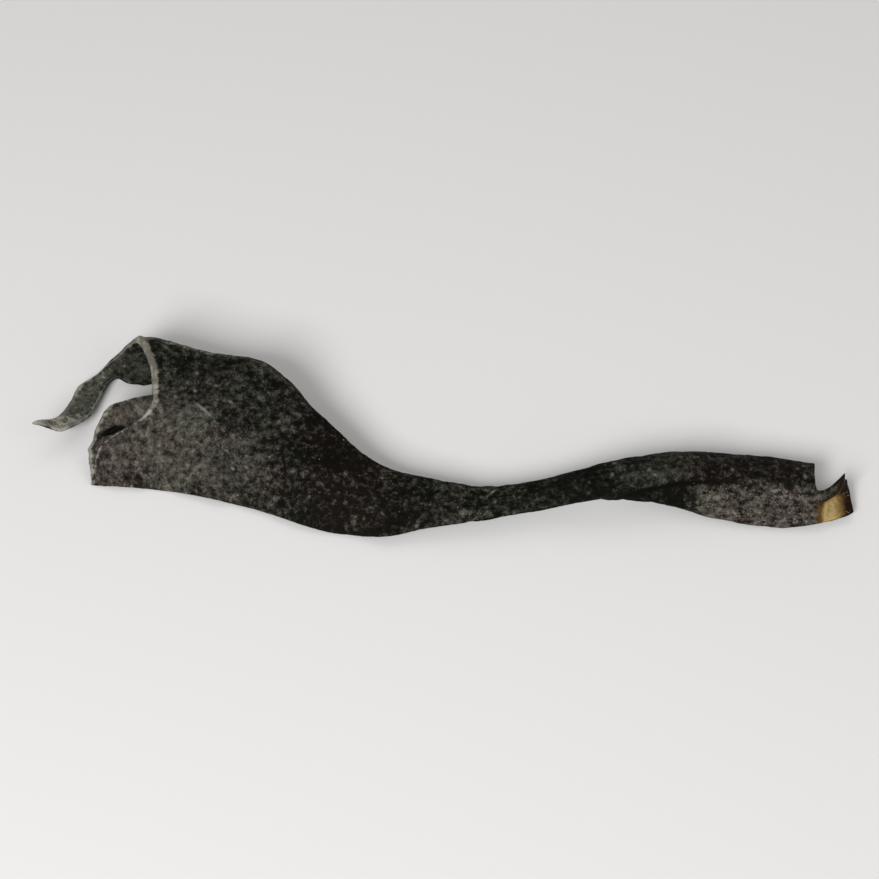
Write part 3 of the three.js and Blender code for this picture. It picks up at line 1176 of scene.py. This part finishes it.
        bloom_and_painted_light = 0.14 + 0.3 * near_bloom + 0.2 * patch + 0.5 * crest + 0.12 * highlight_band + 0.04 * waist
        bloom_and_painted_light = bloom_and_painted_light - 0.24 * shoulder - 0.12 * tip - 0.1 * hem - 0.08 * stalk
        bloom_and_painted_light = bloom_and_painted_light + on_foot * blend(-0.02, 0.37, lower) + 0.24 * upper * (1.0 - on_foot)
        bloom_and_painted_light = bloom_and_painted_light - 0.16 * hill(x, at.dusk) - 0.23 * tuck_shadow - 0.6 * line
        warmth = 0.12 + 0.3 * near * on_blade + 0.75 * tip + 0.5 * shoulder - 0.15 * stalk
        warmth = warmth + 0.75 * smooth_step(x, *at.warm_in)
        speckle = 0.87 + 0.13 * near_bloom + 0.16 * waist - 0.12 * hill(x, at.quiet)
        speckle = speckle + 0.12 * shoulder - 0.1 * upper * (1.0 - on_foot) + 0.35 * flap * inner
        rim_and_highlight = blend(0.55 * hump(blade, 0.45), hump(blade, 0.85), smooth_step(q, *at.split_q))
        rim_and_highlight = rim_and_highlight + margin + crest_highlight
        rim_and_highlight = rim_and_highlight + flap * inner * (0.12 + 0.6 * smooth_step(q, *at.flap_rim_q))
        zones = {
            # On the inner face, the arch's bloom is painted light on a shaded face, and the flap's pale
            # bloom is partly its own and partly painted light.
            "bloom_and_painted_light": blend(1.1 * flap + 0.6 * arch - 0.15, bloom_and_painted_light, outer),
            "warmth": blend(0.45 * flap, warmth, outer),
            "speckle": speckle + on_foot * blend(0.08, 0.34, lower),
            "foot": lower * on_foot * outer,
            "stalk": stalk,
            "rim_and_highlight": np.clip((rim_and_highlight + 0.4 * knot * inner) * (1.0 - 0.6 * hook), 0.0, 1.0),
            "pith": 0.6 * tongue * outer,
            "scorch": 0.75 + 0.6 * smooth_step(q, -0.5, -0.15),
            "outside": outer,
        }
        return {name: np.broadcast_to(zones[name], x.shape) for name in ZONES}

    def cut_zones(self, end: int, share: Array) -> dict[str, Array]:
        """The same numbers on a cut face.

        Args:
            end: the skin's row at the cut, 0 or -1.
            share: each row's share of the way to the middle.

        Returns:
            For each zone's name, a number for each corner of the cut face's rows.
        """
        rows = {name: values[end] for name, values in self.zones.items()}
        if end == 0:
            pale = blend(0.5, 1.0, smooth_step(self.q, *self.at.split_q))
            rows["rim_and_highlight"] = pale - 0.5 * smooth_step(self.q, 0.38, 0.55)
        else:
            through = np.where(self.side > 0, share / 2.0, 1.0 - share / 2.0)
            scorch = 0.12 + 0.6 * smooth_fall(through, 0.0, 0.16)
            scorch = scorch + 0.95 * smooth_step(through, 0.42, 0.94)
            scorch = scorch + 0.8 * smooth_step(self.q, -0.5, -0.12)
            rows |= {"scorch": scorch + (self.q > self.form.notch_side), "rim_and_highlight": 0.0, "pith": 1.0}
        shape = (self.cut_rows, len(self.q))
        return {name: np.broadcast_to(values, shape) for name, values in rows.items()}

    def build(self) -> Piece:
        """Makes the skin's mesh with its map, its zones and its finish.

        Returns:
            The finished piece, riding on the stem's body in place of the solid.
        """
        start, start_share = self.cut_face(0, self.blade_sink)
        finish, finish_share = self.cut_face(-1, self.pith_sink)
        points = np.concatenate([start[::-1], self.points, finish])
        first, last = self.cut_zones(0, start_share), self.cut_zones(-1, finish_share)
        zones = {
            name: np.concatenate([first[name][::-1], values, last[name]])
            for name, values in self.zones.items()
        }
        rows = ((self.cut_rows, self.cut_rows), (0, 0), (0, 0))
        places = np.pad(spread(self.x, self.p), rows, "edge")
        faces = ring_faces(len(points), self.strips, self.cut_rows)
        piece = make_mesh("kelp_skin", self.placement.place(points), faces)
        dress(piece, self.material, zones, places)
        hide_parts("kelp_stem")
        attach(piece, "root")
        return piece


@dataclass
class SplitLayer:
    """The thin inner layer that stands out of the near half's split cut.

    Attributes:
        skin: the skin that it stands out of.
        edge: where its free edge runs, as x against q.
        root: how far it reaches back inside the skin.
        thickness: how thick it is.
        level: how far it lies above the sheet's middle at its free edge and at its root.
        roll: how much thicker its free edge is along the lower half of the cut.
        slit: the middle, as a distance from the skin's edge and as q, of the slit where it has
            pulled away from the skin, and whose colour is painted dark as shadow.
        slit_size: half the slit's breadth, as a distance and as q.
        slit_depth: how deep the slit is.
        wave: how far its free edge wanders.
        crumple: how far it crumples up and down.
        rows: rows from the free edge to the root.
        strips: strips across one face.
    """

    skin: KelpSkin
    edge: Profile = Profile((
        (-1, 4.3), (-0.83, 3.8), (-0.71, 3.5), (-0.62, 4.2), (-0.46, 5.4), (-0.38, 6.4),
        (-0.31, 8), (-0.27, 10.2), (-0.23, 12.4), (-0.2, 15)))
    root: float = 2.4
    thickness: float = 0.4
    level: Span = (-0.15, 0.3)
    roll: float = 0.6
    slit: Span = (-1.9, -0.532)
    slit_size: Span = (0.95, 0.03)
    slit_depth: float = 1.3
    wave: float = 0.35
    crumple: float = 0.2
    rows: int = 44
    strips: int = 64

    def build(self) -> Piece:
        """Makes the layer.

        Formula: x runs evenly from the free edge to the root, while q keeps to the near half. The
        layer follows the sheet's middle, plus its level, less a bell-shaped dip at the slit. Half
        its thickness falls to nothing at its two sides and at its free edge, and swells to a roll
        just behind it.

        Returns:
            The finished piece, riding on the stem's body.
        """
        form = self.skin.form
        way = -np.cos(math.pi * ring_shares(self.strips))
        q = blend(self.edge.knots[0][0] + 0.01, self.edge.knots[-1][0], (way + 1.0) / 2.0)
        s = np.linspace(0.0, 1.0, self.rows + 1)[:, None] ** 1.3
        wander = Relief.LAYER.noise(spread(q * 14.0, 0.5, 0.5), 2)
        free = self.edge(q) + self.wave * wander * (1.0 - way**4)
        cut = form.edge_at_cut(q, np.ones_like(q))
        x = blend(free, np.maximum(cut + self.root, free + 0.5), s)
        slit = bell(x - cut, q, self.slit, self.slit_size)
        off = form.buckle(x, q) + blend(*self.level, smooth_step(x - cut, -3.0, 0.0))
        crumple = Relief.LAYER.noise(spread(x / 2.6, q * 6.0, 2.0))
        off = off - self.slit_depth * slit + self.crumple * crumple * (1.0 - s)
        roll = self.roll * hump(x - free - 0.45, 0.4) * smooth_fall(q, -0.6, -0.35)
        taper = np.sqrt(1.0 - way**6) * np.sqrt(np.clip(1.0 - (1.0 - s) ** 8, 0.0, 1.0))
        off = off + (self.thickness + roll) / 2.0 * taper * ring_sides(self.strips)
        points = self.skin.placement.place(form.off_sheet(x, q, off))
        piece = make_mesh("split_layer", points, ring_faces(self.rows + 1, self.strips, 0))
        pale = blend(0.66, 0.92, smooth_fall(q, -0.65, -0.4))
        zones = {
            # Painted shadow: the slit's colour is darkened and browned, and its rim dimmed, as shade in
            # the gap.
            "bloom_and_painted_light": 0.41 - 2.6 * slit,
            "warmth": 0.4 + 0.6 * slit,
            "speckle": 0.9,
            "rim_and_highlight": pale * hump(x - free - 0.2, 0.7) * (1.0 - slit),
        }
        dress(piece, self.skin.material, zones, spread(x, form.reach(x, q)))
        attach(piece, "root")
        return piece


# ---------------------------------------------------------------- salt and fibres


@dataclass(frozen=True)
class DryFinish:
    """Two dull tones in cloudy noise, rough all over, as on dried salt and torn pith.

    Attributes:
        name: the material's name.
        tones: the tones where the cloud is low and where it is high.
        change: how far from 0 the cloud is where one tone has given way to the other.
        stretch: the size of the cloud's unit along each axis.
        cloud: the cloud.
        gloss: how much the surface shines.
        grit: the cloud that makes the relief.
        grit_strength: how strong the relief is.
    """

    name: str
    tones: tuple[Tone, Tone]
    change: float
    stretch: tuple[float, float, float] = (1.0, 1.0, 1.0)
    cloud: Cloud = Cloud(1.0)
    gloss: float = 0.5
    grit: Cloud = Cloud(1.0)
    grit_strength: float = 0.3

    def make(self) -> bpy.types.Material:
        """Builds the material.

        Returns:
            The material.
        """
        g = NodeGraph(self.name)
        fine = g.place(*self.stretch)
        cloud = g.noise(fine, self.cloud)
        g.feed(g.shader, {
            "Base Color": g.mix(g.step(cloud, -self.change, self.change), *self.tones),
            "Roughness": g.sum(0.8, g.product(cloud, 0.2)),
            "Specular IOR Level": self.gloss,
            "Normal": g.bump(g.noise(fine, self.grit), self.grit_strength, 0.1),
        })
        return g.material


SALT_FINISH = DryFinish(
    "sea_salt", (Tone(78, 76, 69), Tone(112, 110, 101)), 0.15,
    cloud=Cloud(2.2), gloss=0.2, grit=Cloud(9.0), grit_strength=0.4)
PITH_FINISH = DryFinish(
    "torn_pith", (Tone(172, 152, 112), Tone(96, 74, 48)), 0.2, stretch=(2.0, 0.4, 0.4))


@dataclass
class SaltGrains:
    """Salt that dried on the outer face: fine grains and a few flat crusts.

    Attributes:
        skin: the skin that the salt lies on.
        grains: how many fine grains there are.
        crusts: how many flat crusts there are.
        grain_radius: smallest and largest radius of a grain.
        crust_radius: smallest and largest radius of a crust.
        crust_height: half the thickness of a crust.
        flatness: a grain's height over its radius.
        lumpiness: how far a corner lies from the middle, as shares of the radius.
    """

    skin: KelpSkin
    grains: int = 240
    crusts: int = 44
    grain_radius: Span = (0.05, 0.12)
    crust_radius: Span = (0.15, 0.34)
    crust_height: float = 0.05
    flatness: float = 0.7
    lumpiness: Span = (0.72, 1.25)

    def build(self) -> Piece:
        """Makes all the salt as one mesh.

        Returns:
            The finished piece, riding on the stem's body.
        """
        rng = np.random.default_rng(Relief.SALT.value)
        ball, sides = self.ball()
        count = self.grains + self.crusts
        spots = self.spots(rng, count)
        small = rng.uniform(*self.grain_radius, self.grains)
        radius = np.concatenate([small, rng.uniform(*self.crust_radius, self.crusts)])
        centre, up = self.skin.placement.place(self.skin.points[spots]), self.skin.normal[spots]
        lumps = ball * rng.uniform(*self.lumpiness, (count, len(ball), 1))
        sideways = unit(np.cross(up, rng.normal(size=up.shape)))
        axes = np.stack([sideways, np.cross(up, sideways), up], axis=1)
        height = np.minimum(radius * self.flatness, self.crust_height)
        stretch = np.stack([radius, radius * rng.uniform(0.6, 1.0, count), height], axis=-1)
        points = centre[:, None] + np.einsum("nvk,nkc->nvc", lumps * stretch[:, None], axes)
        faces = (sides + (np.arange(count) * len(ball))[:, None, None]).reshape(-1, 3)
        piece = make_mesh("salt_grains", points, faces[:, [0, 1, 2, 2]])
        piece.data.materials.append(SALT_FINISH.make())
        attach(piece, "root")
        return piece

    def spots(self, rng: np.random.Generator, count: int) -> tuple[Array, ...]:
        """Picks grid corners on the outer face, more where the bloom zone, with its painted light and
        shade, is high.

        Args:
            rng: the source of random draws.
            count: how many corners to pick.

        Returns:
            Row and column of each corner.
        """
        skin = self.skin
        along, round_ = np.gradient(skin.points, axis=0), np.roll(skin.points, -1, axis=1) - skin.points
        area = np.linalg.norm(np.cross(along, round_), axis=-1)
        wanted = area * np.clip(skin.zones["bloom_and_painted_light"], 0.05, 1.0) * (skin.side > 0)
        wanted[:6] = wanted[-10:] = 0.0
        picked = rng.choice(wanted.size, count, replace=False, p=(wanted / wanted.sum()).ravel())
        return np.unravel_index(picked, wanted.shape)

    @staticmethod
    def ball() -> tuple[Array, Array]:
        """An icosahedron of radius 1.

        Formula: the corners are the cyclic turns of 0, plus or minus 1 and plus or minus the golden
        ratio, and the faces are the triples of corners that all lie one edge apart.

        Returns:
            Corners, and faces that turn outwards.
        """
        golden = (1.0 + math.sqrt(5.0)) / 2.0
        base = [(0.0, a, b * golden) for a in (-1.0, 1.0) for b in (-1.0, 1.0)]
        corners = np.array([np.roll(corner, turn) for turn in range(3) for corner in base])
        faces = np.array(list(itertools.combinations(range(len(corners)), 3)))
        a, b, c = corners[faces.T]
        longest = np.max([np.linalg.norm(edge, axis=1) for edge in (b - a, c - a, c - b)], axis=0)
        inward = np.sum(np.cross(b - a, c - a) * a, axis=1) < 0.0
        faces[inward] = faces[inward][:, [0, 2, 1]]
        return unit(corners), faces[longest < 2.1]


@dataclass
class TornFibres:
    """Short fibres that the knife left standing on the foot's cut and in its notch.

    Attributes:
        skin: the skin whose foot they stand on.
        count: how many fibres there are.
        length: shortest and longest fibre.
        radius: a fibre's radius at its root.
        steps: rings along a fibre.
        sides: corners round a fibre.
        root_depth: how deep its root lies.
    """

    skin: KelpSkin
    count: int = 34
    length: Span = (0.3, 0.8)
    radius: float = 0.06
    steps: int = 6
    sides: int = 6
    root_depth: float = 0.1

    def build(self) -> Piece:
        """Makes the fibres as one mesh.

        Formula: each fibre is a tube along root plus length times t times its way, bent by a
        sideways pull times t squared. Its radius falls with one less t to nearly nothing, and its
        two ends close on a point, each by two faces across its six corners.

        Returns:
            The finished piece, riding on the stem's body.
        """
        skin, count = self.skin, self.count
        rng = np.random.default_rng(Relief.FIBRE.value)
        face = skin.placement.place(skin.cut_face(-1, skin.pith_sink)[0])
        tongue = np.flatnonzero((skin.q < -0.3) & (skin.q > -0.92))
        root = face[rng.integers(2, skin.cut_rows - 1, count), rng.choice(tongue, count)]
        way = unit(np.array([1.0, 0.0, 0.25]) + rng.normal(scale=0.35, size=(count, 3)))
        pull = rng.normal(scale=0.3, size=(count, 3))
        length = rng.uniform(*self.length, count)[:, None, None]
        t = np.linspace(0.0, 1.0, self.steps)[:, None]
        line = root[:, None] + way[:, None] * (length * t - self.root_depth)
        line = line + pull[:, None] * length * t**2
        side = unit(np.cross(way, [0.0, 0.3, 1.0]))
        turn = 2.0 * math.pi * np.arange(self.sides)[:, None] / self.sides
        ring = np.cos(turn) * side[:, None] + np.sin(turn) * np.cross(way, side)[:, None]
        taper = self.radius * (1.0 - 0.85 * t) * np.where((t == 0) | (t == 1), 0.02, 1.0)
        points = line[:, :, None] + ring[:, None] * taper[:, :, None]
        number = np.arange(count * self.steps * self.sides).reshape(count, self.steps, self.sides)
        ahead = np.roll(number, -1, axis=2)
        quads = np.stack([number[:, :-1], ahead[:, :-1], ahead[:, 1:], number[:, 1:]], axis=-1)
        ends = np.stack([number[:, -1], number[:, 0, ::-1]])[..., [[0, 1, 2, 3], [0, 3, 4, 5]]]
        faces = np.concatenate([quads.reshape(-1, 4), ends.reshape(-1, 4)])
        piece = make_mesh("torn_fibres", points, faces)
        piece.data.materials.append(PITH_FINISH.make())
        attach(piece, "root")
        return piece


# ---------------------------------------------------------------- the studio


@dataclass(frozen=True)
class Lamp:
    """One soft lamp: where it stands round the stem, how large and how bright it is."""

    name: str
    azimuth: float
    elevation: float
    distance: float
    size: float
    watts: float


@dataclass(frozen=True)
class Studio:
    """A pale table, soft lamps and the camera, in metres and degrees.

    Attributes:
        elevation: how steeply the camera looks down. The stem lay on a slope that leant towards
            the viewer, so the lens looks down on it more steeply now that it lies flat.
    """

    elevation: float = 50.0
    distance: float = 0.45
    lens: float = 97.2
    aim_height: float = 0.004
    table_size: float = 4.0
    table_gap: float = 0.00001
    table_tone: Tone = Tone(236, 235, 235)
    lamps: tuple[Lamp, ...] = (
        Lamp("key", -24.0, 36.0, 0.9, 0.34, 6.6),
        Lamp("fill", 52.0, 30.0, 1.1, 0.8, 1.8),
        Lamp("back", 168.0, 55.0, 1.0, 0.7, 1.0),
    )
    room_tone: tuple[float, ...] = (1.0, 0.99, 0.965, 1.0)
    room_light: float = 0.3

    def build(self) -> None:
        """Makes the table, the lamps, the world's light and the camera."""
        low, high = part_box("kelp_stem")
        middle = (low + high) / 2.0
        middle.z = low.z + self.aim_height
        self.table(low.z - self.table_gap)
        for lamp in self.lamps:
            self.lamp(lamp, middle)
        self.world()
        self.camera(middle)
        bpy.context.scene.view_settings.view_transform = "Standard"

    def table(self, height: float) -> None:
        """Lays the pale table at a height.

        Args:
            height: the height of its top.
        """
        square = np.array([(-1, -1), (1, -1), (1, 1), (-1, 1)]) * self.table_size / 2.0
        corners = spread(square[:, 0], square[:, 1], height) / METRES
        top = make_mesh("table", corners, np.array([[0, 1, 2, 3]]), smooth=False)
        g = NodeGraph("table")
        g.feed(g.shader, {"Base Color": self.table_tone, "Roughness": 0.9, "Specular IOR Level": 0.2})
        top.data.materials.append(g.material)

    def aim(
        self, item: Piece, azimuth: float, elevation: float, distance: float, middle: Vector
    ) -> None:
        """Puts a lamp or the camera round the stem, turned towards it.

        Args:
            item: the lamp or the camera.
            azimuth: 0 where it looks along +Y, and more to the right.
            elevation: how high it stands above the table.
            distance: how far it is from the middle.
            middle: the middle of the stem.
        """
        turn, rise = math.radians(azimuth), math.radians(elevation)
        level = math.cos(rise)
        way = Vector((math.sin(turn) * level, -math.cos(turn) * level, math.sin(rise)))
        item.location = middle + way * distance
        item.rotation_euler = (-way).to_track_quat("-Z", "Y").to_euler()
        bpy.context.scene.collection.objects.link(item)

    def lamp(self, lamp: Lamp, middle: Vector) -> None:
        """Makes one square area lamp that faces the stem.

        Args:
            lamp: the lamp.
            middle: the middle of the stem.
        """
        light = bpy.data.lights.new(lamp.name, "AREA")
        light.size = lamp.size
        light.energy = lamp.watts
        item = bpy.data.objects.new(lamp.name, light)
        self.aim(item, lamp.azimuth, lamp.elevation, lamp.distance, middle)

    def world(self) -> None:
        """Fills the room with an even, faintly warm light."""
        world = bpy.data.worlds.new("room")
        world.use_nodes = True
        background = world.node_tree.nodes["Background"]
        background.inputs["Color"].default_value = self.room_tone
        background.inputs["Strength"].default_value = self.room_light
        bpy.context.scene.world = world

    def camera(self, middle: Vector) -> None:
        """Makes the camera, which looks straight at the middle of the stem.

        Args:
            middle: the middle of the stem.
        """
        lens = bpy.data.cameras.new("camera")
        lens.lens = self.lens
        lens.clip_start = 0.01
        camera = bpy.data.objects.new("camera", lens)
        self.aim(camera, 0.0, self.elevation, self.distance, middle)
        bpy.context.scene.camera = camera


def report(piece: Piece) -> None:
    """Logs a piece's name, how many triangles it has and its size.

    Args:
        piece: the finished piece.
    """
    triangles = sum(len(face.vertices) - 2 for face in piece.data.polygons)
    size = " x ".join(f"{side / METRES:.1f}" for side in piece.dimensions)
    log.info("%s: %d triangles, %s mm", piece.name, triangles, size)


def main() -> None:
    """Builds every piece in order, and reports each."""
    logging.basicConfig(level=logging.INFO, format="%(name)s: %(message)s")
    Studio().build()
    skin = KelpSkin()
    report(skin.build())
    report(SplitLayer(skin).build())
    report(SaltGrains(skin).build())
    report(TornFibres(skin).build())
    bpy.context.view_layer.update()


if __name__ == "__main__":
    main()
